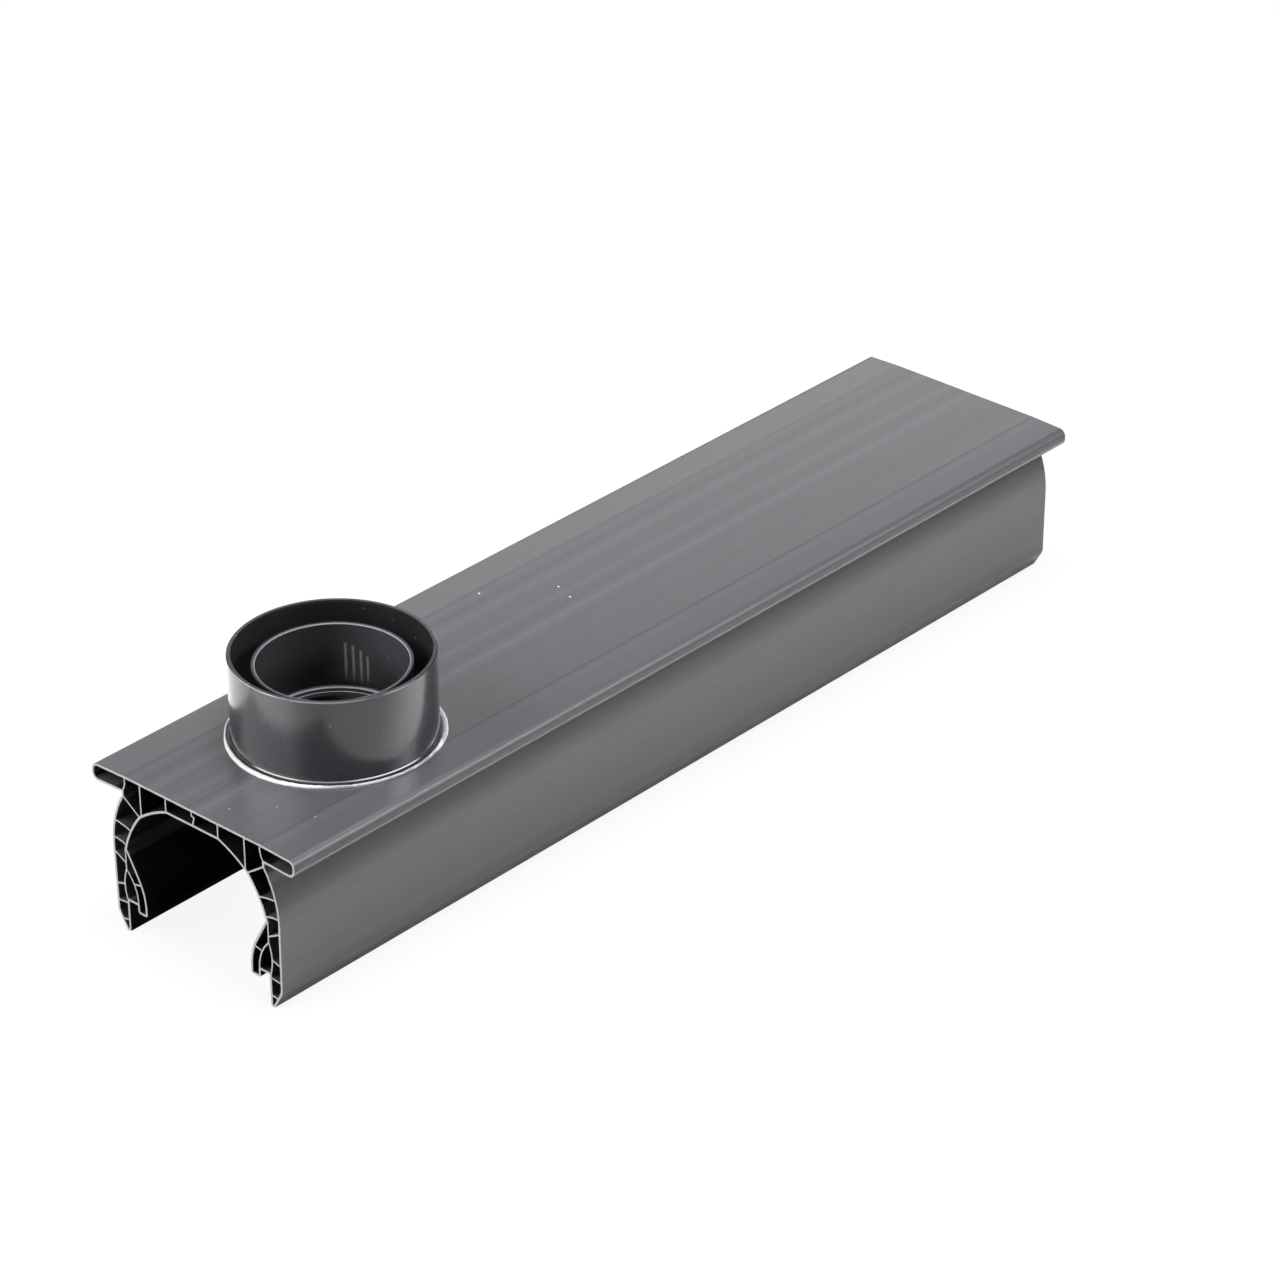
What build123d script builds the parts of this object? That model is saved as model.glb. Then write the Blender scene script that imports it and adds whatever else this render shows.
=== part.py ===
from build123d import *
import os

# Channel drain with a vertical outlet, in millimetres.
# It is drawn turned over, on its two rims, with the bed face and the outlet up.
# +X is across the channel, +Y runs from the outlet end to the far end, and the
# origin is on the floor under the middle of the channel.

# Channel: one extruded length of hollow plastic section
length = 630.0            # cut length
body_height = 96.6        # rims to bed face
skin = 1.3                # outer walls of the section
web = 0.9                 # inner walls of the section

# Flanges, the two hollow shelves that the bed face runs out into
flange_reach = 22.3       # how far a flange stands out past the neck
flange_height = 10.2
flange_drop = 0.9         # sag of a flange's tip under the bed face
flange_tip_radius = 4.3
tip_share = 0.48          # a tip's rounding takes at most this share of that height
flange_root_inset = 2.4   # crease on the bed face, in from the neck
flange_web_bow = 1.0      # the web that closes a flange bows in by this much

# Side walls, each a row of chambers between two skins
grating_width = 105.4     # clear width between the two rims
side_depth = 9.6          # rim face to the outer face, where the wall is fullest
belly_height = 52.0       # height of that fullest point
toe_depth = 9.0           # rim face to the outer face, at the top of the toe's slope
toe_height = 10.7         # height of the toe's slope
toe_land = 2.9            # flat on which a rim stands
toe_radius = 6.0          # rounding at the top of the slope
edge_radius = 0.6         # small outer edges
neck_height = 2.1         # plain neck between flange and side wall

# Seat for the grating: a lip along each rim, with a slot behind it
slot_width = 6.7
slot_depth = 4.8          # slot roof above the lip's foot
lip_recess = 14.3         # rim to the lip's foot
lip_width = 7.0           # across the lip's foot
lip_knee_height = 14.1    # from the lip's foot to the bend in its inner face
lip_knee_radius = 36.0
lip_foot_radius = 1.5
root_height = 51.6        # where the lip leaves the trough wall
root_inset = 0.8          # that line, in from the rim face

# Trough, the arch that carries the water
crown_depth = 10.05       # bed face to the flat of the arch
crown_width = 38.6
shoulder_width = 79.2
shoulder_drop = 11.4      # flat of the arch to its shoulders
shoulder_bow = 0.9        # bulge of the arch between flat and shoulder
wall_bow = 1.4            # bulge of the arch between shoulder and lip

# Inner webs of a side wall, as heights above the rims: outer end, inner end
leg_webs = [(47.3, 42.4), (26.9, 28.9), (16.8, 17.6), (6.0, 7.0)]
# Webs between the outer skin and the arch, as shares of each curve, and their bow
arch_webs = [(0.57, 0.50, -0.5), (0.90, 0.07, -0.9)]
slot_web_rise = 19.5      # peak of the closed chamber above the slot, from its roof
slot_web_bow = 2.1
partition_bow = 1.9
lip_web_height = 18.6     # above the lip's foot
lip_web_share = 0.43      # where it meets the slot's wall, from that wall's top
smallest_chamber = 2.0    # area under which a corner between webs is solid
centre_kink = 1.9         # sideways step of the middle web
centre_stub = 3.2         # straight part of it under the bed face
centre_foot = 0.6         # where it stands on the arch, off the middle

# Outlet, one moulding with a socket inside a collar
outlet_inset = 104.0      # near end to the outlet's axis
pipe_diameter = 80.0      # pipe that pushes into the socket
pipe_clearance = 0.8      # on the diameter
socket_wall = 2.0
socket_height = 42.4      # bed face to the socket's rim
annular_gap = 10.4        # between socket and collar
collar_wall = 2.2
collar_height = 49.6      # bed face to the collar's rim
recess_height = 2.0       # recess round the collar's foot, which the glue grips
recess_depth = 1.0        # depth of it, and of the slope above it
outlet_floor = 3.6        # ring that joins socket and collar, and stops the pipe
drain_bore = 64.0         # hole through that ring and through the bed
floor_step = 1.3          # slope between socket wall and floor
rim_chamfer = 0.4

# Glue bead round the collar's foot
bead_width = 4.4          # out from the collar's wall
bead_height = 1.6
bead_groove = 0.9         # height of the valley between recess and bead
bead_groove_reach = 1.2   # that valley, out from the collar's wall
bead_hollow = 0.2         # sag of the glue between recess and valley

# Lines that the section is built on
rim_x = grating_width / 2
slot_x = rim_x - slot_width
mouth_x = slot_x - lip_width
side_x = rim_x + side_depth
toe_x = rim_x + toe_depth
flange_x = rim_x + flange_reach
crease_x = rim_x - flange_root_inset
crown_x = crown_width / 2
shoulder_x = shoulder_width / 2
partition_x = rim_x + web / 2
flange_z = body_height - flange_height
neck_z = flange_z - neck_height
crown_z = body_height - crown_depth
shoulder_z = crown_z - shoulder_drop
slot_z = lip_recess + slot_depth
root = (rim_x - root_inset, root_height)
slot_peak = (partition_x, slot_z + slot_web_rise)
slot_foot = (slot_x - skin / 2, slot_z + skin / 2)
shoulder = (shoulder_x, shoulder_z)
crown = (crown_x, crown_z)
neck = (rim_x, neck_z)
belly = (side_x, belly_height)

# Lines that the outlet is built on
outlet_y = outlet_inset - length / 2
socket_radius = (pipe_diameter + pipe_clearance) / 2
socket_outer = socket_radius + socket_wall
collar_inner = socket_outer + annular_gap
collar_radius = collar_inner + collar_wall
recess_radius = collar_radius - recess_depth
bore_radius = drain_bore / 2


def side_curve():
    """Outer face of a side wall from its fullest point up to the neck."""
    return TangentArc(belly, neck, tangent=(0, 1))


def wall_curve():
    """Face of the arch from the lip's root up to the shoulder."""
    return SagittaArc(root, shoulder, -wall_bow)


def slot_curve():
    """Wall between the closed slot chamber and the lip, from its top down."""
    return SagittaArc(slot_peak, slot_foot, -slot_web_bow)


def corner(sketch, point, radius):
    """Rounds the corner of a flat shape that lies nearest to point."""
    nearest = sketch.vertices().sort_by_distance((*point, 0))[0]
    return fillet(nearest, radius)


def half_outline():
    """Right half of the section's outer shape, filled in."""
    outer = Polyline(
        (0, body_height),
        (crease_x, body_height),
        (flange_x, body_height - flange_drop),
        (flange_x, flange_z - flange_drop),
        (rim_x, flange_z),
        neck,
    )
    toe = Polyline(belly, (toe_x, toe_height), (rim_x + toe_land, 0), (rim_x, 0))
    lip = Polyline(
        (rim_x, 0),
        (rim_x, slot_z),
        (slot_x, slot_z),
        (slot_x, lip_recess),
        (mouth_x, lip_recess),
        (mouth_x, lip_recess + lip_knee_height),
        root,
    )
    arch = SagittaArc(shoulder, crown, -shoulder_bow)
    middle = Polyline(crown, (0, crown_z), (0, body_height))
    edges = [outer, side_curve(), toe, lip, wall_curve(), arch, middle]
    half = make_face(ShapeList(e for part in edges for e in part.edges()))
    tip = min(flange_tip_radius, tip_share * flange_height)
    half = corner(half, (flange_x, body_height - flange_drop), tip)
    half = corner(half, (flange_x, flange_z - flange_drop), tip)
    half = corner(half, (toe_x, toe_height), toe_radius)
    half = corner(half, (rim_x + toe_land, 0), edge_radius)
    half = corner(half, (rim_x, 0), edge_radius)
    half = corner(half, (slot_x, lip_recess), lip_foot_radius)
    half = corner(half, (mouth_x, lip_recess), lip_foot_radius)
    half = corner(half, (mouth_x, lip_recess + lip_knee_height), lip_knee_radius)
    return half


def strip(start, end, bow=0.0):
    """One web of even thickness between two points, bulging sideways by bow."""
    start, end = Vector(*start), Vector(*end)
    side = (end - start).normalized().rotate(Axis.Z, 90) * (web / 2)
    left, right = (start + side, end + side), (start - side, end - side)
    if bow:
        long_edges = [SagittaArc(*left, bow), SagittaArc(*right, bow)]
    else:
        long_edges = [Line(*left), Line(*right)]
    ends = [Line(left[0], right[0]), Line(left[1], right[1])]
    return make_face(ShapeList(e for part in long_edges + ends for e in part.edges()))


def knuckle(point):
    """Rounds the bend between two strips that meet at a point."""
    return Pos(*point) * Circle(web / 2)


def outer_face(height):
    """Where the outer face of a side wall is at a height below its fullest point."""
    if height > toe_height:
        share = (height - toe_height) / (belly_height - toe_height)
        return toe_x + (side_x - toe_x) * share
    return rim_x + toe_land + (toe_depth - toe_land) * height / toe_height


def partition_face(height):
    """Middle of the bowed partition in a side wall at a height."""
    share = (height - slot_z) / slot_web_rise
    if 0 < share < 1:
        return partition_x + partition_bow * 4 * share * (1 - share)
    return partition_x


def bed_webs():
    """Webs of the right half between the bed face and the arch, and in the flange."""
    bed_z = body_height - skin / 2
    flange_end = (rim_x - web / 2, flange_z + skin / 2)
    return [
        strip((crown_x, bed_z), (crown_x, crown_z + skin / 2)),
        strip((shoulder_x - web, bed_z), (shoulder_x - web, shoulder_z + skin)),
        strip((crease_x, bed_z), flange_end, -flange_web_bow),
        strip(neck, shoulder),
    ]


def lip_web():
    """Short web across the lip."""
    knee_z = lip_recess + lip_knee_height
    web_z = lip_recess + lip_web_height
    share = (web_z - knee_z) / (root_height - knee_z)
    face_x = mouth_x + (root[0] - mouth_x) * share
    return strip((face_x, web_z), slot_curve() @ lip_web_share)


def side_webs():
    """Webs of the right side wall, its partition, and the webs of the lip."""
    webs = [
        strip((partition_x, root_height), slot_peak),
        strip(slot_peak, (rim_x + skin / 2, slot_z), partition_bow),
        strip(slot_peak, slot_foot, -slot_web_bow),
        knuckle(slot_peak),
        lip_web(),
    ]
    for outer_z, inner_z in leg_webs:
        outer_end = (outer_face(outer_z), outer_z)
        webs.append(strip(outer_end, (partition_face(inner_z), inner_z)))
    for outer_share, inner_share, bow in arch_webs:
        outer_end = side_curve() @ (1 - outer_share)
        webs.append(strip(outer_end, wall_curve() @ inner_share, bow))
    return webs


def centre_web():
    """Middle web, which buckled sideways as the section was drawn out."""
    top = body_height - skin / 2
    bend = (0, body_height - skin - centre_stub + web)
    step = (centre_kink, bend[1] - web / 2)
    foot = (centre_foot, crown_z + skin / 2)
    runs = [strip((0, top), bend), strip(bend, step), strip(step, foot)]
    return runs + [knuckle(bend), knuckle(step)]


def section():
    """The whole hollow section: an outer shape less its chambers."""
    half = half_outline()
    outline = half + mirror(half, Plane.YZ)
    inside = offset(outline, -skin)
    right_webs = bed_webs() + side_webs()
    left_webs = [mirror(face, Plane.YZ) for face in right_webs]
    for face in right_webs + left_webs + centre_web():
        inside -= face
    chambers = [face for face in inside.faces() if face.area > smallest_chamber]
    print("chambers", len(chambers))
    return outline - chambers


def channel_body():
    """The extruded channel, with the outlet's hole sawn through its bed."""
    blank = extrude(Plane.XZ * section(), length / 2, both=True)
    hole_height = body_height - shoulder_z
    hole = Cylinder(bore_radius, 2 * hole_height)
    return blank - Pos(0, outlet_y, body_height) * hole


def outlet_fitting():
    """Socket, collar and the floor ring between them, turned as one piece."""
    floor_z = outlet_floor
    profile = Polyline(
        (bore_radius, 0),
        (recess_radius, 0),
        (recess_radius, recess_height),
        (collar_radius, recess_height + recess_depth),
        (collar_radius, collar_height - rim_chamfer),
        (collar_radius - rim_chamfer, collar_height),
        (collar_inner, collar_height),
        (collar_inner, floor_z),
        (socket_outer, floor_z),
        (socket_outer, socket_height),
        (socket_radius + rim_chamfer, socket_height),
        (socket_radius, socket_height - rim_chamfer),
        (socket_radius, floor_z + floor_step),
        (socket_radius - floor_step, floor_z),
        (bore_radius, floor_z),
        close=True,
    )
    turned = revolve(Plane.XZ * make_face(profile), Axis.Z)
    return Pos(0, outlet_y, body_height) * turned


def glue_bead(channel):
    """Ring of glue pressed out of the recess round the collar, bedded on the channel."""
    groove = (collar_radius + bead_groove_reach, bead_groove)
    crest = (collar_radius + (bead_groove_reach + bead_width) / 2, bead_height)
    edge = (collar_radius + bead_width, 0)
    sunk_edge, sunk_foot = (edge[0], -flange_drop), (recess_radius, -flange_drop)
    climb = (recess_radius, recess_height)
    profile = [
        Line(sunk_foot, climb),
        SagittaArc(climb, groove, bead_hollow),
        ThreePointArc(groove, crest, edge),
        Line(edge, sunk_edge),
        Line(sunk_edge, sunk_foot),
    ]
    face = make_face(ShapeList(e for part in profile for e in part.edges()))
    ring = Pos(0, outlet_y, body_height) * revolve(Plane.XZ * face, Axis.Z)
    return ring - channel


def main():
    os.makedirs("parts", exist_ok=True)
    channel = channel_body()
    parts = {
        "channel_body": channel,
        "outlet_fitting": outlet_fitting(),
        "glue_bead": glue_bead(channel),
    }
    for name, part in parts.items():
        export_step(part, f"parts/{name}.step")
        print(name, "solids", len(part.solids()), "volume", round(part.volume))


main()
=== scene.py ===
# %% [markdown]
# # A channel drain, dressed to look real
# The object is a length of hollow plastic channel that has been turned over. It stands on its two
# rims, with its flat bed face up, and near one end a round outlet is glued on: a wide collar with
# a lower pipe socket inside it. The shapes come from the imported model. This file adds what a
# modeller sees when holding the thing: the streaks that the die leaves, the pale sawn ends, the
# smooth moulded outlet, and the white glue that was pressed out round it.

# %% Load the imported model
import math
import bpy
from mathutils import Matrix, Vector, noise


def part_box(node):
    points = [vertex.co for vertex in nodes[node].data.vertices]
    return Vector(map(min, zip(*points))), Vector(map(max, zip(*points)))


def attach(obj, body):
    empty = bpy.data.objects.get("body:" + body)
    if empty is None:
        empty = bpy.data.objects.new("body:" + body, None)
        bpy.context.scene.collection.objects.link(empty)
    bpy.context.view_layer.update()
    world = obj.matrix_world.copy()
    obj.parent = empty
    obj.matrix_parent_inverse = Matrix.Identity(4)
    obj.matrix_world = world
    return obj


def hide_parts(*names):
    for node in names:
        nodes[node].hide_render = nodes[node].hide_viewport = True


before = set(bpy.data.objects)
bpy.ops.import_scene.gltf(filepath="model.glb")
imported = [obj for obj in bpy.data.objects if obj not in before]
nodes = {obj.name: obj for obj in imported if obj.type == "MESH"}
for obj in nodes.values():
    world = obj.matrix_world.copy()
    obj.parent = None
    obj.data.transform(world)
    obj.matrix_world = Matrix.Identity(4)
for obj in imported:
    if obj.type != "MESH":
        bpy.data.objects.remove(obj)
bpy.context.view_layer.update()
scene = bpy.context.scene
bpy.ops.object.select_all(action="DESELECT")
MM = 0.001
print("nodes of the model:", sorted(nodes))

# %% [markdown]
# ## Where things are
# Every place below is worked out from the boxes of two nodes, the channel and the outlet, so that
# the finish stays on the part if its sizes change. The sizes that a box can't give, such as where
# the inner webs meet the bed face, are written once, in millimetres, where they are first used.

# %% Measure the model
channel_low, channel_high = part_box("channel_body")
outlet_low, outlet_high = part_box("outlet_fitting")
near_end, far_end = channel_low.y, channel_high.y
bed_top = channel_high.z
half_width = channel_high.x
outlet_top = outlet_high.z
outlet_x = (outlet_low.x + outlet_high.x) / 2
outlet_y = (outlet_low.y + outlet_high.y) / 2
outlet_centre = Vector((outlet_x, outlet_y, bed_top))
print("bed face at", round(bed_top, 4), "m, outlet's top at", round(outlet_top, 4), "m")

# %% [markdown]
# ## The camera
# A product like this is photographed with a long lens from well back, so that its long edges stay
# nearly parallel. The camera could be placed by eye, but the picture gives enough straight edges
# and circles to solve for it: how far it is turned round the object, how high it looks down from,
# and which pixel the middle of the near end falls on. The camera is then put at the matching
# point, with no shift, and its three axes are written straight into its matrix.

# %% Place the camera
image_side = 1280
aim_pixel_x = 190.73
aim_pixel_y = 808.85
lens_mm = 138.0
sensor_mm = 36.0
view_turn = math.radians(42.31)
view_height = math.radians(29.66)
view_roll = math.radians(-0.51)
view_distance = 2.5037
aim_lift = 0.6 * MM

aim_point = Vector((0, near_end, bed_top + aim_lift))
flat = math.cos(view_height)
back = Vector((math.sin(view_turn) * flat, -math.cos(view_turn) * flat, math.sin(view_height)))
level = Vector((math.cos(view_turn), math.sin(view_turn), 0))
roll = Matrix.Rotation(view_roll, 3, back)
right = roll @ level
up = roll @ back.cross(level)

metres_per_pixel = view_distance * sensor_mm / lens_mm / image_side
aim_right = (aim_pixel_x - image_side / 2) * metres_per_pixel
aim_up = (image_side / 2 - aim_pixel_y) * metres_per_pixel
camera_place = aim_point - aim_right * right - aim_up * up + view_distance * back
camera_axes = Matrix((right, up, back)).transposed().to_4x4()

bpy.ops.object.camera_add()
camera = bpy.context.object
camera.name = "camera"
camera.data.lens = lens_mm
camera.data.sensor_width = sensor_mm
camera.data.clip_end = 200
camera.matrix_world = Matrix.Translation(camera_place) @ camera_axes
scene.camera = camera
bpy.ops.object.select_all(action="DESELECT")
print("camera at", [round(c, 3) for c in camera_place])

# %% [markdown]
# ## Building materials in code
# A material is a small graph of nodes. Written out one by one, the nodes hide what the graph does,
# so one helper adds a node, sets its options and fills its inputs. An input is given either a
# number or colour, or the output of an earlier node, which it is then linked to. The helpers after
# it each make one kind of node that the finishes use over and over.

# %% Add nodes
def add_node(tree, kind, inputs=None, **options):
    """Adds a node; inputs maps a socket's name or number to a value or to another socket."""
    made = tree.nodes.new(kind)
    for option, value in options.items():
        setattr(made, option, value)
    for name, value in (inputs or {}).items():
        if isinstance(value, bpy.types.NodeSocket):
            tree.links.new(value, made.inputs[name])
        else:
            made.inputs[name].default_value = value
    return made


def maths(tree, operation, first, second=0.0, third=0.0, clamp=False):
    """One step of arithmetic; returns the socket that holds the result."""
    values = {0: first, 1: second, 2: third}
    return add_node(tree, "ShaderNodeMath", values, operation=operation, use_clamp=clamp).outputs[0]


def mix_colours(tree, share, first, second):
    """Blends two colours; 0 gives the first and 1 the second."""
    return add_node(tree, "ShaderNodeMix", {0: share, 6: first, 7: second}, data_type="RGBA").outputs[2]


def scale_colour(tree, colour, shade):
    """A colour made paler or darker over the surface, by a factor that a socket holds."""
    return add_node(tree, "ShaderNodeVectorMath", {0: colour, "Scale": shade}, operation="SCALE").outputs[0]


def map_range(tree, value, low, high, to_low=0.0, to_high=1.0, smooth=True):
    """Stretches a range of a value to another range, with soft ends."""
    kind = "SMOOTHSTEP" if smooth else "LINEAR"
    values = {0: value, 1: low, 2: high, 3: to_low, 4: to_high}
    return add_node(tree, "ShaderNodeMapRange", values, interpolation_type=kind).outputs[0]


def distance_to(tree, value, middle):
    """How far a value is from a middle, on either side of it."""
    return maths(tree, "ABSOLUTE", maths(tree, "SUBTRACT", value, middle))


print("node helpers are ready")

# %% Add groups and materials
def new_group(name, inputs, outputs):
    """A node group with float or vector inputs, given as name: default, and named outputs."""
    group = bpy.data.node_groups.new(name, "ShaderNodeTree")
    for label, value in inputs.items():
        kind = "NodeSocketVector" if value is None else "NodeSocketFloat"
        socket = group.interface.new_socket(label, in_out="INPUT", socket_type=kind)
        if value is not None:
            socket.default_value = value
    for label in outputs:
        group.interface.new_socket(label, in_out="OUTPUT", socket_type="NodeSocketFloat")
    return group, add_node(group, "NodeGroupInput").outputs, add_node(group, "NodeGroupOutput")


def use_group(tree, group, inputs):
    """Places a node group in a material and returns its outputs."""
    return add_node(tree, "ShaderNodeGroup", inputs, node_tree=group).outputs


def new_material(name):
    """An empty material with its output; returns the material, its tree and the Surface socket."""
    material = bpy.data.materials.new(name)
    material.use_nodes = True
    tree = material.node_tree
    tree.nodes.clear()
    surface = add_node(tree, "ShaderNodeOutputMaterial").inputs["Surface"]
    return material, tree, surface


def read_place(tree):
    """The place on the object, as one vector and as its X, Y and Z."""
    place = add_node(tree, "ShaderNodeTexCoord").outputs["Object"]
    return place, add_node(tree, "ShaderNodeSeparateXYZ", {0: place}).outputs


print("group and material helpers are ready")

# %% [markdown]
# ## Effects that the finishes share
# Three effects could be written into each material, but then a change to one would have to be
# made in all of them, so each effect is a node group.
# *Drawn streaks* are what a die leaves on a profile: noise that is squeezed across the profile and
# stretched along it. One coarse layer gives the soft bands and one fine layer the hairlines.
# *Mottling* is the faint cloudiness of any plastic skin, at two sizes.
# *Specks* are single grains of dust or swarf: the cores of Voronoi cells, of which only a few
# cells chosen by their own random value are kept.

# %% Drawn streaks
def make_streaks():
    group, given, result = new_group(
        "drawn_streaks", {"Place": None, "Across": 120.0, "Along": 0.8}, ["Bands", "Hairlines"])
    across, along = given["Across"], given["Along"]
    squeeze = add_node(group, "ShaderNodeCombineXYZ", {0: across, 1: along, 2: across}).outputs[0]
    squeezed = add_node(group, "ShaderNodeVectorMath", {0: given["Place"], 1: squeeze}, operation="MULTIPLY")
    place = squeezed.outputs[0]
    bands = add_node(group, "ShaderNodeTexNoise", {"Vector": place, "Scale": 1.0, "Detail": 2.0})
    hairs = add_node(group, "ShaderNodeTexNoise", {"Vector": place, "Scale": 9.0, "Detail": 3.0})
    group.links.new(bands.outputs[0], result.inputs["Bands"])
    group.links.new(hairs.outputs[0], result.inputs["Hairlines"])
    return group


drawn_streaks = make_streaks()
print("group", drawn_streaks.name)

# %% Mottling
grain_finer_by = 40.0


def make_mottling():
    group, given, result = new_group("mottling", {"Place": None, "Size": 40.0}, ["Clouds", "Grain"])
    clouds = add_node(group, "ShaderNodeTexNoise",
                      {"Vector": given["Place"], "Scale": given["Size"], "Detail": 3.0, "Roughness": 0.55})
    fine_size = maths(group, "MULTIPLY", given["Size"], grain_finer_by)
    grain = add_node(group, "ShaderNodeTexNoise",
                     {"Vector": given["Place"], "Scale": fine_size, "Detail": 2.0, "Roughness": 0.6})
    group.links.new(clouds.outputs[0], result.inputs["Clouds"])
    group.links.new(grain.outputs[0], result.inputs["Grain"])
    return group


mottling = make_mottling()
print("group", mottling.name)

# %% Specks
def make_specks():
    group, given, result = new_group(
        "specks", {"Place": None, "Density": 160.0, "Share": 0.02, "Radius": 0.06}, ["Mask"])
    cells = add_node(group, "ShaderNodeTexVoronoi", {"Vector": given["Place"], "Scale": given["Density"]})
    chance = add_node(group, "ShaderNodeSeparateColor", {0: cells.outputs["Color"]}).outputs[0]
    chosen = maths(group, "LESS_THAN", chance, given["Share"])
    core = maths(group, "LESS_THAN", cells.outputs["Distance"], given["Radius"])
    group.links.new(maths(group, "MULTIPLY", chosen, core), result.inputs["Mask"])
    return group


specks = make_specks()
print("group", specks.name)

# %% [markdown]
# ## Bands on the channel
# Extruded rigid plastic is satin: its skin is polished by the die, but drawn out in fine lines.
# Over each inner web the skin cools last and sinks a little, and that shows as a dark line with a
# pale one beside it, painted shade and a painted highlight. The die also leaves broader bands on the
# bed face, and on the side walls the bands are painted light and shade.
# Noise alone would put them anywhere. Each of these keeps its place over the whole length, so it
# is written down by its middle and its half width in millimetres and by how much paler or darker
# it is. On the bed face the middle is measured across, on a side wall it is a height.

# %% Tables of bands
# Painted shade and painted highlight of the sinks over the inner webs: across in mm, half width, change.
web_sink_painted_shading = [
    (-3.2, 1.6, -0.20), (3.6, 3.4, 0.18), (12.0, 2.0, -0.10), (19.3, 1.1, -0.12), (-19.3, 1.1, -0.10),
    (38.7, 1.1, -0.14), (-40.2, 2.0, -0.16), (50.3, 1.1, -0.30), (-50.3, 1.1, -0.16), (-68.0, 3.2, 0.18),
]
die_bands = [
    (-60.0, 7.0, -0.06), (-55.0, 2.0, 0.08), (-46.0, 4.0, 0.09), (-32.0, 6.5, 0.16), (-26.0, 2.0, -0.10),
    (-12.0, 4.5, 0.18), (-8.0, 1.6, -0.08), (30.0, 8.0, -0.14), (33.0, 1.6, 0.08), (44.0, 2.2, -0.07),
    (55.5, 6.0, 0.18), (67.5, 3.0, 0.14), (73.5, 4.0, -0.06),
]
# Painted light and shade on the side walls: height in mm, half width, change.
side_painted_light_and_shade = [
    (52.0, 11.0, 0.42), (58.0, 4.5, 0.26), (42.0, 7.0, 0.18), (26.0, 4.0, -0.10),
    (34.0, 3.0, 0.08), (13.0, 5.0, -0.14), (67.0, 3.0, -0.10), (70.0, 5.0, 0.14),
]
skin_depth = 0.4 * MM
side_band_top = bed_top - 12 * MM
side_band_fade = 2 * MM


def read_bands(tree, place, bands):
    """How much paler or darker the skin is at a place; each band is a soft bell round its middle."""
    total = 0.0
    for middle_mm, half_mm, change in bands:
        aside = distance_to(tree, place, middle_mm * MM)
        total = maths(tree, "ADD", map_range(tree, aside, 0.0, half_mm * MM, change, 0.0), total)
    return total


def find_bands(tree, parts):
    """The bands of the bed face on the bed face only, and those of the side walls below it."""
    on_bed = map_range(tree, parts["Z"], bed_top - skin_depth, bed_top - 0.1 * MM)
    on_side = map_range(tree, parts["Z"], side_band_top - side_band_fade, side_band_top, 1.0, 0.0)
    bands = maths(tree, "MULTIPLY", read_bands(tree, parts["X"], web_sink_painted_shading + die_bands), on_bed)
    return maths(tree, "MULTIPLY_ADD", read_bands(tree, parts["Z"], side_painted_light_and_shade), on_side, bands)


print("bands:", len(web_sink_painted_shading) + len(die_bands), "on the bed face,", len(side_painted_light_and_shade), "on each side wall")

# %% [markdown]
# ## Drops of glue
# Three pale drops of glue lie in the middle of the bed face, and three much fainter ones between
# the outlet and the near end. They are as flat as paint, so they could be discs, but a change of
# colour in the channel's own finish shows the same. A drop is where the distance to its middle is
# short.

# %% Places of the drops
drop_places = [(-46.2, -53.7), (-18.7, -19.2), (-6.1, -23.4)]
faint_places = [(14.2, -301.4), (52.4, -277.5), (31.0, -284.0)]
drop_radius = 0.8 * MM
faint_amount = 0.25


def find_drops(tree, place, places):
    """A mask that is 1 on the drops: the distance to the nearest drop, cut at its radius."""
    nearest = 1.0
    for across_mm, along_mm in places:
        spot = (across_mm * MM, along_mm * MM, bed_top)
        away = add_node(tree, "ShaderNodeVectorMath", {0: place, 1: spot}, operation="DISTANCE")
        nearest = maths(tree, "MINIMUM", nearest, away.outputs["Value"])
    return map_range(tree, nearest, 0.5 * drop_radius, drop_radius, 1.0, 0.0)


print("drops:", len(drop_places), "plain and", len(faint_places), "faint")

# %% [markdown]
# ## Edge lines and hollows
# The lower corner of each flange carries a painted highlight, a pale line. A bevel would catch
# the light the same way, but the model's own faces are never changed, so it is painted.
# The trough and the chambers are darkened as painted shade, because hardly any light comes back
# out of them. They are found by their place: under the bed face and between the side walls' skins,
# and in the flanges between their two skins and short of their tips.

# %% Find the flange line and the hollows
flange_line_high = 7.2 * MM
flange_line_low = 8.4 * MM
trough_half_width = 50.0 * MM
flange_middle = bed_top - 5.6 * MM
flange_hollow = 7.0 * MM
flange_tip = half_width - 1.0 * MM
hollow_tip = half_width - 1.5 * MM


def find_flange_highlight(tree, parts):
    """A mask of the painted highlight along the lower corner of both flanges."""
    beside = maths(tree, "GREATER_THAN", maths(tree, "ABSOLUTE", parts["X"]), flange_tip)
    depth = maths(tree, "SUBTRACT", bed_top, parts["Z"])
    begins = map_range(tree, depth, flange_line_high - 0.3 * MM, flange_line_high + 0.2 * MM)
    ends = map_range(tree, depth, flange_line_low - 0.5 * MM, flange_line_low + 0.3 * MM, 1.0, 0.0)
    return maths(tree, "MULTIPLY", beside, maths(tree, "MULTIPLY", begins, ends))


def find_hollow_shade(tree, parts):
    """A mask of the trough and the chambers, where the grey is darkened as painted shade."""
    aside = maths(tree, "ABSOLUTE", parts["X"])
    between = maths(tree, "LESS_THAN", aside, trough_half_width)
    below = maths(tree, "LESS_THAN", parts["Z"], bed_top - 0.5 * MM)
    in_trough = maths(tree, "MULTIPLY", between, below)
    short_of_tip = maths(tree, "LESS_THAN", aside, hollow_tip)
    from_middle = distance_to(tree, parts["Z"], flange_middle)
    between_skins = maths(tree, "LESS_THAN", from_middle, flange_hollow / 2)
    in_flange = maths(tree, "MULTIPLY", short_of_tip, between_skins)
    return maths(tree, "MAXIMUM", in_trough, in_flange)


print("flange line", round((flange_line_low - flange_line_high) / MM, 1), "mm high")
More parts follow.
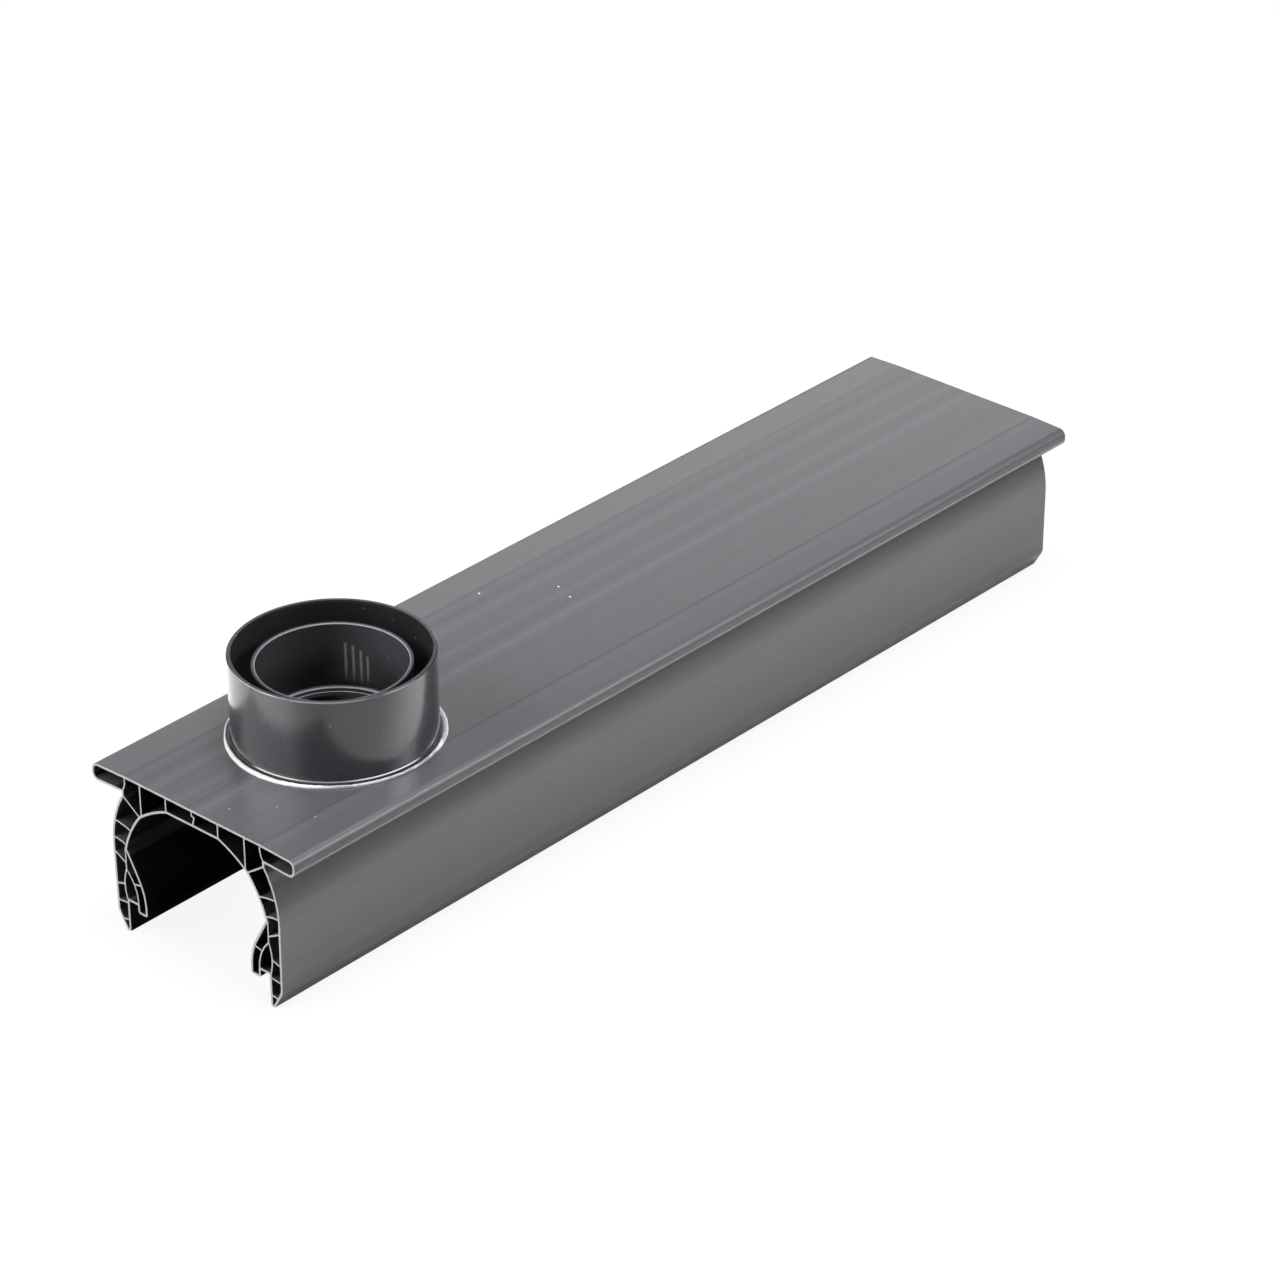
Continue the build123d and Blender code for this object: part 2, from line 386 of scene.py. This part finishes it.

# %% [markdown]
# ## The channel's plastic
# All of this is one material, because the channel is one piece. The bands, the streaks and the
# lines change how pale the grey is, and the streaks also raise the skin by a hair. Of these, the
# sinks' lines, the side walls' bands and the flange line are painted light and shade, and the trough
# and the chambers are darkened as painted shade. The two ends are sawn: there the grey is scuffed
# to a pale, dull grey. Whatever lies within a hair of either end plane is a sawn face. The flanges'
# tips are a little duller than the rest, from handling.

# %% Shade and relief of the channel
channel_grey = (0.088, 0.0865, 0.095)
band_amount = 0.13
hair_amount = 0.035
flange_highlight_amount = 4.2
hollow_painted_shade = -0.84
band_relief = 0.08
hair_relief = 0.01


def spread_noise(tree, value):
    """Centres a noise on zero and stretches its usual range to one."""
    return map_range(tree, value, 0.3, 0.7, -0.5, 0.5, smooth=False)


def shade_channel(tree, parts, streaks):
    """How pale the grey is and how high the skin lies, before the sawn ends."""
    tone = spread_noise(tree, streaks["Bands"])
    hairs = spread_noise(tree, streaks["Hairlines"])
    shade = maths(tree, "MULTIPLY_ADD", tone, band_amount, 1.0)
    shade = maths(tree, "MULTIPLY_ADD", hairs, hair_amount, shade)
    # The bands carry painted shade and highlights of the sinks, and painted light and shade on the side
    # walls.
    shade = maths(tree, "ADD", find_bands(tree, parts), shade)
    # The flange line is a painted highlight.
    shade = maths(tree, "MULTIPLY_ADD", find_flange_highlight(tree, parts), flange_highlight_amount, shade)
    # Painted shade darkens the trough and the chambers.
    light_left = maths(tree, "MULTIPLY_ADD", find_hollow_shade(tree, parts), hollow_painted_shade, 1.0)
    shade = maths(tree, "MULTIPLY", shade, light_left)
    relief = maths(tree, "MULTIPLY_ADD", hairs, hair_relief, maths(tree, "MULTIPLY", tone, band_relief))
    return shade, relief


print("channel grey", channel_grey)

# %% Channel plastic
glue_pale = (0.9, 0.9, 0.9, 1)
sawn_dark = (0.70, 0.70, 0.71, 1)
sawn_pale = (0.88, 0.88, 0.89, 1)
sawn_depth = 0.03 * MM
sawn_duller_by = 0.35
tip_duller_by = 0.12


def find_roughness(tree, parts, streaks, sawn):
    """Satin on the drawn skin, a little duller at the flanges' tips, dull where it is sawn."""
    drawn = map_range(tree, streaks["Bands"], 0.3, 0.7, 0.29, 0.32)
    aside = maths(tree, "ABSOLUTE", parts["X"])
    at_tip = map_range(tree, aside, half_width - 5 * MM, half_width - 2 * MM, 0.0, tip_duller_by)
    return maths(tree, "MULTIPLY_ADD", sawn, sawn_duller_by, maths(tree, "ADD", drawn, at_tip))


def make_channel_plastic():
    material, tree, surface = new_material("channel_plastic_satin")
    place, parts = read_place(tree)
    streaks = use_group(tree, drawn_streaks, {"Place": place, "Across": 90.0, "Along": 0.5})
    clouds = use_group(tree, mottling, {"Place": place, "Size": 25.0})
    shade, relief = shade_channel(tree, parts, streaks)

    faint = maths(tree, "MULTIPLY", find_drops(tree, place, faint_places), faint_amount)
    drops = maths(tree, "MAXIMUM", find_drops(tree, place, drop_places), faint)
    dotted = mix_colours(tree, drops, scale_colour(tree, channel_grey, shade), glue_pale)
    sawn = maths(tree, "GREATER_THAN", maths(tree, "ABSOLUTE", parts["Y"]), far_end - sawn_depth)
    sawn_grey = mix_colours(tree, clouds["Grain"], sawn_dark, sawn_pale)
    colour = mix_colours(tree, sawn, dotted, sawn_grey)
    roughness = find_roughness(tree, parts, streaks, sawn)
    bump = add_node(tree, "ShaderNodeBump", {"Height": relief, "Distance": 0.08 * MM, "Strength": 0.6})
    skin = add_node(tree, "ShaderNodeBsdfPrincipled",
                    {"Base Color": colour, "Roughness": roughness, "Normal": bump.outputs[0]})
    skin.inputs["Specular IOR Level"].default_value = 1.0
    skin.inputs["Specular Tint"].default_value = (0.985, 0.98, 1.0, 1)
    tree.links.new(skin.outputs[0], surface)
    return material


channel_plastic = make_channel_plastic()
nodes["channel_body"].material_slots[0].material = channel_plastic
print("channel finish on", nodes["channel_body"].name)

# %% [markdown]
# ## Round the outlet
# The outlet is injection moulded in a polished tool, so it is smoother and darker than the
# channel. Everything on it runs round one upright axis. So its places are given as a distance
# from that axis, an angle round it in degrees, with 0 on the +X side, and a height.

# %% Angle and distance round the outlet
socket_inner = 40.4 * MM
collar_inner = 52.8 * MM
within_wall = 0.3 * MM


def round_outlet(tree, parts):
    """The angle round the outlet's axis, in degrees, and the distance from that axis."""
    from_x = maths(tree, "SUBTRACT", parts["X"], outlet_x)
    from_y = maths(tree, "SUBTRACT", parts["Y"], outlet_y)
    angle = maths(tree, "DEGREES", maths(tree, "ARCTAN2", from_y, from_x))
    across = add_node(tree, "ShaderNodeCombineXYZ", {0: from_x, 1: from_y}).outputs[0]
    away = add_node(tree, "ShaderNodeVectorMath", {0: across}, operation="LENGTH").outputs["Value"]
    return angle, away


def find_inside(tree, parts, away):
    """A mask of all that lies inside the collar, below its rim, where the moulding is dull."""
    within = maths(tree, "LESS_THAN", away, collar_inner + within_wall)
    deep = map_range(tree, parts["Z"], outlet_top - 3 * MM, outlet_top - 1 * MM, 1.0, 0.0)
    return maths(tree, "MULTIPLY", within, deep)


def find_socket(tree, away):
    """A mask of the socket's bore and of all that it holds."""
    return maths(tree, "LESS_THAN", away, socket_inner + within_wall)


print("socket", round(socket_inner / MM, 1), "mm, collar", round(collar_inner / MM, 1), "mm in radius")

# %% [markdown]
# ## Painted highlights on the edges
# The rims of socket and collar carry painted highlights: the socket's all round, the collar's in
# patches. At the bottom of the socket the ledge that stops the pipe shows two painted highlights as
# pale arcs. Bevels with a bright highlight would do it too, but the faces stay as they are, so each
# line is a narrow ring at its radius, held to the right height.

# %% Find the edges
socket_rim_low = bed_top + 41.7 * MM
collar_rim_low = outlet_top - 0.6 * MM
ledge_high = bed_top + 4.6 * MM
socket_rim_line = (40.55, 0.55)
collar_rim_line = (55.0, 0.5)
ledge_lines = [(35.8, 0.4), (39.5, 0.4)]
# How strong the painted highlights on the rims and the ledge are.
rim_highlight_amount = 0.5
ledge_highlight_amount = 0.8


def ring_line(tree, away, line):
    """A soft line round the outlet's axis, given as its radius and its half width."""
    radius_mm, half_mm = line
    aside = distance_to(tree, away, radius_mm * MM)
    return map_range(tree, aside, 0.5 * half_mm * MM, half_mm * MM, 1.0, 0.0)


def find_painted_edge_highlights(tree, parts, away, patches):
    """A mask of the painted highlights on the edges: both rims and the two edges of the ledge."""
    at_rim = maths(tree, "GREATER_THAN", parts["Z"], socket_rim_low)
    inner = maths(tree, "MULTIPLY", at_rim, ring_line(tree, away, socket_rim_line))
    at_top = maths(tree, "GREATER_THAN", parts["Z"], collar_rim_low)
    outer = maths(tree, "MULTIPLY", at_top, ring_line(tree, away, collar_rim_line))
    outer = maths(tree, "MULTIPLY", outer, map_range(tree, patches, 0.45, 0.6))
    rims = maths(tree, "MULTIPLY", maths(tree, "ADD", inner, outer), rim_highlight_amount)
    low = maths(tree, "LESS_THAN", parts["Z"], ledge_high)
    arcs = maths(tree, "ADD", ring_line(tree, away, ledge_lines[0]), ring_line(tree, away, ledge_lines[1]))
    ledge = maths(tree, "MULTIPLY", maths(tree, "MULTIPLY", arcs, low), ledge_highlight_amount)
    return maths(tree, "MAXIMUM", rims, ledge)


print("edges: 2 rims and", len(ledge_lines), "arcs")

# %% [markdown]
# ## Painted highlight streaks inside the socket
# Four painted highlights run down the far wall of the socket as pale streaks. Each is sharp at its
# top and fades out downwards. They follow the wall, so an angle and two heights above the bed face
# give each of them.

# %% Find the streak highlights
streak_highlights = [(126.2, 5.5, 31.2), (120.4, 4.5, 29.8), (114.4, 4.5, 27.2), (109.0, 5.0, 24.2)]
streak_half_angle = 1.5
streak_fade = 12 * MM
streak_highlight_amount = 0.5


def find_streak_highlights(tree, parts, angle, away):
    """A mask of upright painted highlights on the socket's wall: angle, lowest and highest point of each."""
    found = 0.0
    for middle, low_mm, high_mm in streak_highlights:
        aside = distance_to(tree, angle, middle)
        line = map_range(tree, aside, 0.3 * streak_half_angle, streak_half_angle, 1.0, 0.0)
        foot = bed_top + low_mm * MM
        top = bed_top + high_mm * MM
        rise = map_range(tree, parts["Z"], foot, foot + streak_fade)
        fall = map_range(tree, parts["Z"], top - 1.0 * MM, top, 1.0, 0.0)
        mark = maths(tree, "MULTIPLY", line, maths(tree, "MULTIPLY", rise, fall))
        found = maths(tree, "MAXIMUM", found, mark)
    return maths(tree, "MULTIPLY", maths(tree, "MULTIPLY", found, find_socket(tree, away)), streak_highlight_amount)


print("rubs:", len(streak_highlights))

# %% [markdown]
# ## How dark the outlet is inside
# Little light reaches down the socket, into the gap round it or on to the ledge at its bottom,
# and walls of one even grey would come out too pale there. So the grey is darkened with painted
# shade: with depth, in the gap and on the ledge. The socket's far wall is the other way round: a
# painted pool of light makes it paler.

# %% Shade of the outlet
lit_wall_angle = 92.0
lit_wall_half_angle = 60.0
lit_wall_painted_light = 0.9
depth_painted_shade = 0.85
gap_painted_shade = 0.5
ledge_painted_shade = 0.95
ledge_dark_radius = 39.0 * MM
socket_skin = 1.8 * MM


def shade_inside(tree, parts, angle, away, inside):
    """How much of the grey is left after the painted shade inside the collar, with painted light on the far
    wall.
    """
    # Painted shade: darker with depth, in the gap and on the ledge.
    depth = map_range(tree, parts["Z"], bed_top + 8 * MM, bed_top + 34 * MM, depth_painted_shade, 0.0)
    in_gap = maths(tree, "GREATER_THAN", away, socket_inner + socket_skin)
    on_ledge = maths(tree, "LESS_THAN", away, ledge_dark_radius)
    depth = maths(tree, "MAXIMUM", depth, maths(tree, "MULTIPLY", in_gap, gap_painted_shade))
    depth = maths(tree, "MAXIMUM", depth, maths(tree, "MULTIPLY", on_ledge, ledge_painted_shade))
    light_left = maths(tree, "SUBTRACT", 1.0, maths(tree, "MULTIPLY", inside, depth))

    # Painted light on the socket's far wall.
    from_lit_wall = distance_to(tree, angle, lit_wall_angle)
    painted_light = map_range(tree, from_lit_wall, 0.0, lit_wall_half_angle, lit_wall_painted_light, 0.0)
    painted_light = maths(tree, "MULTIPLY", painted_light, find_socket(tree, away))
    return maths(tree, "MULTIPLY", maths(tree, "ADD", painted_light, 1.0), light_left)


print("haze at", lit_wall_angle, "degrees")

# %% [markdown]
# ## The outlet's plastic
# On its outside the moulding mirrors what stands round it as soft, blurred shapes, which is what
# makes it read as a moulding. One glossy layer gives either sharp or blurred reflections; a second
# clear one over it, the coat, gives both, as polished plastic does. Inside there is no coat.

# %% Outlet plastic
outlet_grey = (0.04, 0.04, 0.045)
dust_and_highlight_pale = (0.5, 0.5, 0.52, 1)
dust_amount = 0.5
inside_duller_by = 0.22


def make_outlet_plastic():
    material, tree, surface = new_material("outlet_plastic_smooth")
    place, parts = read_place(tree)
    angle, away = round_outlet(tree, parts)
    clouds = use_group(tree, mottling, {"Place": place, "Size": 30.0})
    dust = use_group(tree, specks, {"Place": place, "Density": 420.0, "Share": 0.02, "Radius": 0.2})
    inside = find_inside(tree, parts, away)

    cloudy = map_range(tree, clouds["Clouds"], 0.3, 0.7, 0.9, 1.1, smooth=False)
    shade = maths(tree, "MULTIPLY", cloudy, shade_inside(tree, parts, angle, away, inside))
    # The specks are dust; the streaks and the edge lines are painted highlights.
    marks = maths(tree, "MULTIPLY", dust["Mask"], dust_amount)
    marks = maths(tree, "MAXIMUM", marks, find_streak_highlights(tree, parts, angle, away))
    marks = maths(tree, "MAXIMUM", marks, find_painted_edge_highlights(tree, parts, away, clouds["Clouds"]))
    colour = mix_colours(tree, marks, scale_colour(tree, outlet_grey, shade), dust_and_highlight_pale)
    smooth = map_range(tree, clouds["Clouds"], 0.3, 0.7, 0.24, 0.32)
    roughness = maths(tree, "MULTIPLY_ADD", inside, inside_duller_by, smooth)
    coat = maths(tree, "SUBTRACT", 1.0, inside)
    bump = add_node(tree, "ShaderNodeBump",
                    {"Height": clouds["Grain"], "Distance": 0.02 * MM, "Strength": 0.12})
    skin = add_node(tree, "ShaderNodeBsdfPrincipled",
                    {"Base Color": colour, "Roughness": roughness, "Coat Weight": coat,
                     "Normal": bump.outputs[0]})
    skin.inputs["Specular IOR Level"].default_value = 0.8
    skin.inputs["Specular Tint"].default_value = (0.9, 0.9, 1.0, 1)
    skin.inputs["Coat Roughness"].default_value = 0.16
    skin.inputs["Coat IOR"].default_value = 1.6
    tree.links.new(skin.outputs[0], surface)
    return material


outlet_plastic = make_outlet_plastic()
nodes["outlet_fitting"].material_slots[0].material = outlet_plastic
print("outlet finish on", nodes["outlet_fitting"].name)

# %% [markdown]
# ## The glue bead
# When the outlet was pressed down, cement came out all round its foot. It set in two parts: a thin
# film that fills the recess in the collar's foot, and outside that a bead that lies on the bed
# face, with a narrow gap between them. It could be sculpted, or drawn as a curve with a thick
# line, but a bead has a flat bottom, and a spun section keeps that. So each part is a
# flat-bottomed oval, spun once round the outlet's axis.

# %% Two rings of glue
bead_middle = 57.3 * MM
bead_half_width = 1.6 * MM
bead_height = 1.5 * MM
film_middle = 55.05 * MM
film_half_width = 0.55 * MM
film_height = 2.7 * MM
ring_steps = 720
flat_bottom = 0.02
merge_distance = 0.001 * MM


def select_where(piece, test):
    """Selects only the vertices of a piece whose place passes a test; starts and ends in edit mode."""
    bpy.ops.mesh.select_all(action="DESELECT")
    bpy.ops.object.mode_set(mode="OBJECT")
    for vertex in piece.data.vertices:
        vertex.select = test(vertex.co)
    bpy.ops.object.mode_set(mode="EDIT")


def add_glue_ring(name, radius, half_width, height, corners):
    """A closed ring with a flat-bottomed oval section that stands on the bed face."""
    section_place = (outlet_x + radius, outlet_y, bed_top)
    bpy.ops.mesh.primitive_circle_add(
        vertices=corners, radius=1.0, location=section_place, rotation=(math.radians(90), 0, 0))
    ring = bpy.context.object
    ring.name = name
    bpy.ops.object.transform_apply(location=True, rotation=True, scale=True)
    bpy.ops.object.mode_set(mode="EDIT")
    bpy.ops.mesh.select_mode(type="VERT")
    bpy.ops.mesh.select_all(action="SELECT")
    bpy.ops.transform.resize(value=(half_width, 1, height), center_override=section_place)
    select_where(ring, lambda place: place.z < bed_top)
    bpy.ops.transform.resize(value=(1, 1, flat_bottom), center_override=section_place)
    bpy.ops.mesh.select_all(action="SELECT")
    bpy.ops.mesh.spin(
        steps=ring_steps, angle=2 * math.pi, center=(outlet_x, outlet_y, 0), axis=(0, 0, 1))
    bpy.ops.mesh.select_all(action="SELECT")
    bpy.ops.mesh.remove_doubles(threshold=merge_distance)
    bpy.ops.mesh.normals_make_consistent(inside=False)
    bpy.ops.object.mode_set(mode="OBJECT")
    bpy.ops.object.shade_smooth()
    return ring


bead = add_glue_ring("glue_bead_outer", bead_middle, bead_half_width, bead_height, corners=20)
film = add_glue_ring("glue_film", film_middle, film_half_width, film_height, corners=24)
print("bead has", len(bead.data.polygons), "faces, film has", len(film.data.polygons))

# %% [markdown]
# ## The uneven bead
# The bead is uneven, because it was pressed out and wiped by hand: broad where the fitting faces
# the near end, a mere line on its left. Proportional editing would do this with the mouse. Here
# a short table gives the inner radius, outer radius and height at some angles, in millimetres,
# and every vertex is moved to where the table puts it, with small lumps from noise on top. Then
# both rings are joined to one piece, which takes the place of the model's even ring.

# %% Pull the bead wider and narrower
bead_table = [
    (-180, 57.0, 58.8, 1.1), (-150, 57.6, 58.8, 1.0), (-135, 57.2, 58.5, 1.1), (-122, 56.6, 58.7, 1.3),
    (-112, 56.2, 59.0, 1.3), (-100, 56.1, 59.2, 1.4), (-88, 56.0, 59.3, 1.4), (-75, 56.0, 59.2, 1.4),
    (-62, 56.0, 58.5, 1.5), (-50, 56.0, 57.9, 1.4), (-35, 56.0, 57.7, 1.3), (-20, 56.0, 57.5, 1.3),
    (0, 56.0, 57.7, 1.2), (15, 56.0, 58.0, 1.2), (28, 56.1, 58.7, 1.3), (42, 56.2, 59.2, 1.4),
    (55, 56.3, 59.3, 1.4), (75, 56.4, 59.2, 1.3), (110, 56.6, 58.9, 1.2), (150, 56.9, 58.7, 1.1),
    (180, 57.0, 58.8, 1.1),
]
lump_coarse, lump_coarse_size = 0.22, 260
lump_fine, lump_fine_size = 0.12, 700
wander_mm, wander_size = 0.2, 9


def read_bead(angle):
    """Inner radius, outer radius and height of the bead at an angle, blended from the table."""
    for before, after in zip(bead_table, bead_table[1:]):
        if angle <= after[0]:
            share = (angle - before[0]) / (after[0] - before[0])
            share = share * share * (3 - 2 * share)
            return [(1 - share) * b + share * a for b, a in zip(before[1:], after[1:])]
    return bead_table[-1][1:]


def pull_bead(piece):
    """Moves every vertex of the even ring to where the table puts it, with small lumps."""
    for vertex in piece.data.vertices:
        aside = vertex.co - outlet_centre
        radius = math.hypot(aside.x, aside.y)
        angle = math.atan2(aside.y, aside.x)
        inner, outer, height = read_bead(math.degrees(angle))
        share = (radius - bead_middle) / (2 * bead_half_width) + 0.5
        coarse = lump_coarse * noise.noise(vertex.co * lump_coarse_size)
        fine = lump_fine * noise.noise(vertex.co * lump_fine_size)
        on_circle = Vector((math.cos(angle), math.sin(angle), 3.0))
        wander = wander_mm * noise.noise(on_circle * wander_size)
        new_radius = (inner + share * (outer + wander - inner)) * MM
        vertex.co.x = outlet_x + new_radius * math.cos(angle)
        vertex.co.y = outlet_y + new_radius * math.sin(angle)
        vertex.co.z = bed_top + aside.z * height * MM / bead_height * (1 + coarse + fine)
    piece.data.update()


pull_bead(bead)
bpy.ops.object.select_all(action="DESELECT")
film.select_set(True)
bead.select_set(True)
bpy.context.view_layer.objects.active = bead
bpy.ops.object.join()
bead.name = "glue_round_collar"
bpy.ops.object.transform_apply(location=True, rotation=True, scale=True)
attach(bead, "root")
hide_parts("glue_bead")
bpy.ops.object.select_all(action="DESELECT")
print("glue:", len(bead.data.polygons), "faces")

# %% [markdown]
# ## The glue's finish
# The cement dried white and glossy. Where it lies thin it lets the grey plastic through: at the
# front right it is a lavender grey. At the right the bead is a white crescent round a grey inside,
# which is painted shade. The film in the recess is nearly the plastic's own colour, apart from its
# upper edge on the near side, which carries a painted highlight as a thin white line.

# %% Colours of the glue
glue_white = (0.95, 0.95, 0.95, 1)
glue_off_white = (0.89, 0.89, 0.9, 1)
glue_thin = (0.37, 0.365, 0.41, 1)
# The grey inside the crescent is painted shade.
crescent_painted_shade = (0.22, 0.215, 0.25, 1)
film_dark = (0.05, 0.05, 0.055, 1)
# The film's upper edge carries a painted highlight.
film_painted_highlight = (0.9, 0.9, 0.92, 1)
film_outer = 55.75 * MM
film_line_low = bed_top + 1.95 * MM
film_line_high = bed_top + 2.2 * MM
film_faint_angle = -50.0
crescent_low = 58.3 * MM
crescent_high = 58.9 * MM
crescent_shade_amount = 0.75


def between_angles(tree, angle, opens, open_by, closes, closed_by):
    """A mask that fades in and out again, going round the outlet."""
    begins = map_range(tree, angle, opens, open_by)
    ends = map_range(tree, angle, closes, closed_by, 1.0, 0.0)
    return maths(tree, "MULTIPLY", begins, ends)


def colour_bead(tree, angle, away, clouds):
    """White with faint clouds, lavender where it is thin, and grey painted shade inside the crescent."""
    cloudy = map_range(tree, clouds, 0.4, 0.65)
    thin = between_angles(tree, angle, -58.0, -38.0, 12.0, 30.0)
    patches = map_range(tree, clouds, 0.42, 0.6, 0.45, 0.95)
    from_outside = map_range(tree, away, crescent_low, crescent_high, crescent_shade_amount, 0.0)
    in_crescent_shade = maths(tree, "MULTIPLY", map_range(tree, angle, 24.0, 36.0), from_outside)
    white = mix_colours(tree, cloudy, glue_white, glue_off_white)
    white = mix_colours(tree, maths(tree, "MULTIPLY", thin, patches), white, glue_thin)
    return mix_colours(tree, in_crescent_shade, white, crescent_painted_shade)


def colour_film(tree, parts, angle):
    """Dark, with a painted highlight on its upper edge that is fainter round one angle."""
    edge = map_range(tree, parts["Z"], film_line_low, film_line_high)
    from_faint = distance_to(tree, angle, film_faint_angle)
    edge = maths(tree, "MULTIPLY", edge, map_range(tree, from_faint, 8.0, 24.0, 0.35, 1.0))
    edge = maths(tree, "MULTIPLY", edge, between_angles(tree, angle, -97.0, -88.0, 2.0, 10.0))
    return mix_colours(tree, edge, film_dark, film_painted_highlight)


print("film line", round((film_line_low - bed_top) / MM, 2), "mm above the bed face")

# %% Glue
def make_glue():
    material, tree, surface = new_material("glue_white")
    place, parts = read_place(tree)
    clouds = use_group(tree, mottling, {"Place": place, "Size": 90.0})["Clouds"]
    angle, away = round_outlet(tree, parts)
    on_film = maths(tree, "LESS_THAN", away, film_outer)
    colour = mix_colours(
        tree, on_film, colour_bead(tree, angle, away, clouds), colour_film(tree, parts, angle))
    roughness = map_range(tree, clouds, 0.35, 0.65, 0.12, 0.3)
    bump = add_node(tree, "ShaderNodeBump", {"Height": clouds, "Distance": 0.3 * MM, "Strength": 0.5})
    skin = add_node(tree, "ShaderNodeBsdfPrincipled",
                    {"Base Color": colour, "Roughness": roughness, "Normal": bump.outputs[0]})
    tree.links.new(skin.outputs[0], surface)
    return material


bead.data.materials.clear()
bead.data.materials.append(make_glue())
print("glue finish on", bead.name)

# %% [markdown]
# ## The floor
# The studio is plain: a pale floor that runs to the horizon. The camera has to see it as white,
# and yet it has to keep the object's shadow. More light would burn out the object, so for camera
# rays most of the floor's own shading is replaced by plain white, and the rest keeps the shadow.
# In reflections the floor's colour is painted light and shade: a painted pool of light beside the
# channel that is less bright far off, painted shade at the front right, and a painted shadow under
# the channel. The side wall mirrors it. To bounced light the floor is dark, so that it doesn't fill
# the shaded walls.

# %% Floor
floor_side = 80
under_inset = 22 * MM
# Painted light and shade of the floor as reflections see it.
sheet_near, sheet_far = 0.95, 0.3
front_direction = (0.866, -0.5, 0)
front_painted_shade = 0.5
floor_seen = (0.95, 0.95, 0.95, 1)
floor_bounce = (0.06, 0.06, 0.06, 1)
white_share = 0.9

bpy.ops.mesh.primitive_plane_add(size=floor_side)
floor = bpy.context.object
floor.name = "floor"


def painted_floor_reflection(tree, place, parts):
    """The floor's painted light and shade in reflections: the distance from the channel's foot sets it."""
    aside = maths(tree, "ABSOLUTE", parts["X"])
    beside = maths(tree, "SUBTRACT", aside, half_width)
    beyond = maths(tree, "SUBTRACT", maths(tree, "ABSOLUTE", parts["Y"]), far_end)
    gap = add_node(tree, "ShaderNodeCombineXYZ",
                   {0: maths(tree, "MAXIMUM", beside, 0.0), 1: maths(tree, "MAXIMUM", beyond, 0.0)})
    away = add_node(tree, "ShaderNodeVectorMath", {0: gap.outputs[0]}, operation="LENGTH").outputs["Value"]
    not_under = maths(tree, "GREATER_THAN", aside, half_width - under_inset)
    open_floor = maths(tree, "MAXIMUM", maths(tree, "GREATER_THAN", away, 0.0), not_under)
    sheet = maths(tree, "MULTIPLY", map_range(tree, away, 0.05, 0.9, sheet_near, sheet_far), open_floor)
    towards = add_node(tree, "ShaderNodeVectorMath", {0: place, 1: front_direction}, operation="DOT_PRODUCT")
    front = map_range(tree, towards.outputs["Value"], 0.22, 0.35, 1.0, front_painted_shade)
    return maths(tree, "MULTIPLY", sheet, front)


def make_floor_material():
    material, tree, surface = new_material("floor_pale")
    rays = add_node(tree, "ShaderNodeLightPath").outputs
    place, parts = read_place(tree)
    pale = mix_colours(tree, rays["Is Camera Ray"], painted_floor_reflection(tree, place, parts), floor_seen)
    seen = maths(tree, "ADD", rays["Is Camera Ray"], rays["Is Glossy Ray"], clamp=True)
    colour = mix_colours(tree, seen, floor_bounce, pale)
    matt = add_node(tree, "ShaderNodeBsdfDiffuse", {"Color": colour}).outputs[0]
    white = add_node(tree, "ShaderNodeEmission", {"Color": (1, 1, 1, 1), "Strength": 1.0}).outputs[0]
    share = maths(tree, "MULTIPLY", rays["Is Camera Ray"], white_share)
    mixed = add_node(tree, "ShaderNodeMixShader", {0: share, 1: matt, 2: white})
    tree.links.new(mixed.outputs[0], surface)
    return material


floor.data.materials.append(make_floor_material())
bpy.ops.object.select_all(action="DESELECT")
print("floor is", floor_side, "m wide")

# %% [markdown]
# ## The world
# Behind the floor the camera sees white at a strength of one. The world could light the object as
# well, but an even light from all round flattens it, and this object's tones come from separate
# lamps in a dark room. So only camera rays see the world.

# %% World
def make_world():
    world = bpy.data.worlds.new("studio")
    world.use_nodes = True
    tree = world.node_tree
    tree.nodes.clear()
    seen = add_node(tree, "ShaderNodeLightPath").outputs["Is Camera Ray"]
    light = add_node(tree, "ShaderNodeBackground", {"Color": (1, 1, 1, 1), "Strength": seen})
    target = add_node(tree, "ShaderNodeOutputWorld")
    tree.links.new(light.outputs[0], target.inputs[0])
    return world


scene.world = make_world()
print("world is ready")

# %% [markdown]
# ## Lamps
# One lamp would light all of the object, but on glossy plastic it is the mirror images of lamps
# that give the shape, so there are several softboxes. The images of the broad key and the small
# one above it fall on the collar's left, and that of the backdrop on the bed face, which the
# camera sees at a slant. The top lamp lights every level face, the two at the right light the side
# wall and the flange's rounded edge, and the one low in front lifts the sawn end. Each stands on a
# sphere round the object and faces its middle. Azimuth 0 is on the +X side.

# %% Lamps
lamp_aim = Vector((0, 0, 0.08))
lamp_table = [
    # name, azimuth, elevation, distance, width, height, power
    ("key_front_left", 237, 32, 2.4, 3.0, 0.9, 34.5),
    ("key_high", 240, 47, 2.4, 1.0, 0.8, 9.2),
    ("top", 0, 84, 2.4, 1.2, 1.2, 58),
    ("backdrop", 132, 21, 2.8, 2.0, 0.7, 7.5),
    ("edge_right", 31, 34, 2.25, 0.9, 0.3, 18),
    ("right", 28, 15, 2.6, 1.8, 0.9, 8),
    ("front_low", 275, 6, 2.4, 1.0, 0.5, 5),
]


def add_lamp(name, azimuth, elevation, distance, width, height, power):
    """A softbox on a sphere round the object, turned to face its middle."""
    turn = math.radians(azimuth)
    rise = math.radians(elevation)
    outward = Vector((math.cos(rise) * math.cos(turn), math.cos(rise) * math.sin(turn), math.sin(rise)))
    bpy.ops.object.light_add(type="AREA", location=lamp_aim + distance * outward)
    lamp = bpy.context.object
    lamp.name = name
    lamp.data.shape = "RECTANGLE"
    lamp.data.size = width
    lamp.data.size_y = height
    lamp.data.energy = power
    lamp.rotation_euler = (-outward).to_track_quat("-Z", "Y").to_euler()


for row in lamp_table:
    add_lamp(*row)
bpy.ops.object.select_all(action="DESELECT")
scene.view_settings.view_transform = "Standard"
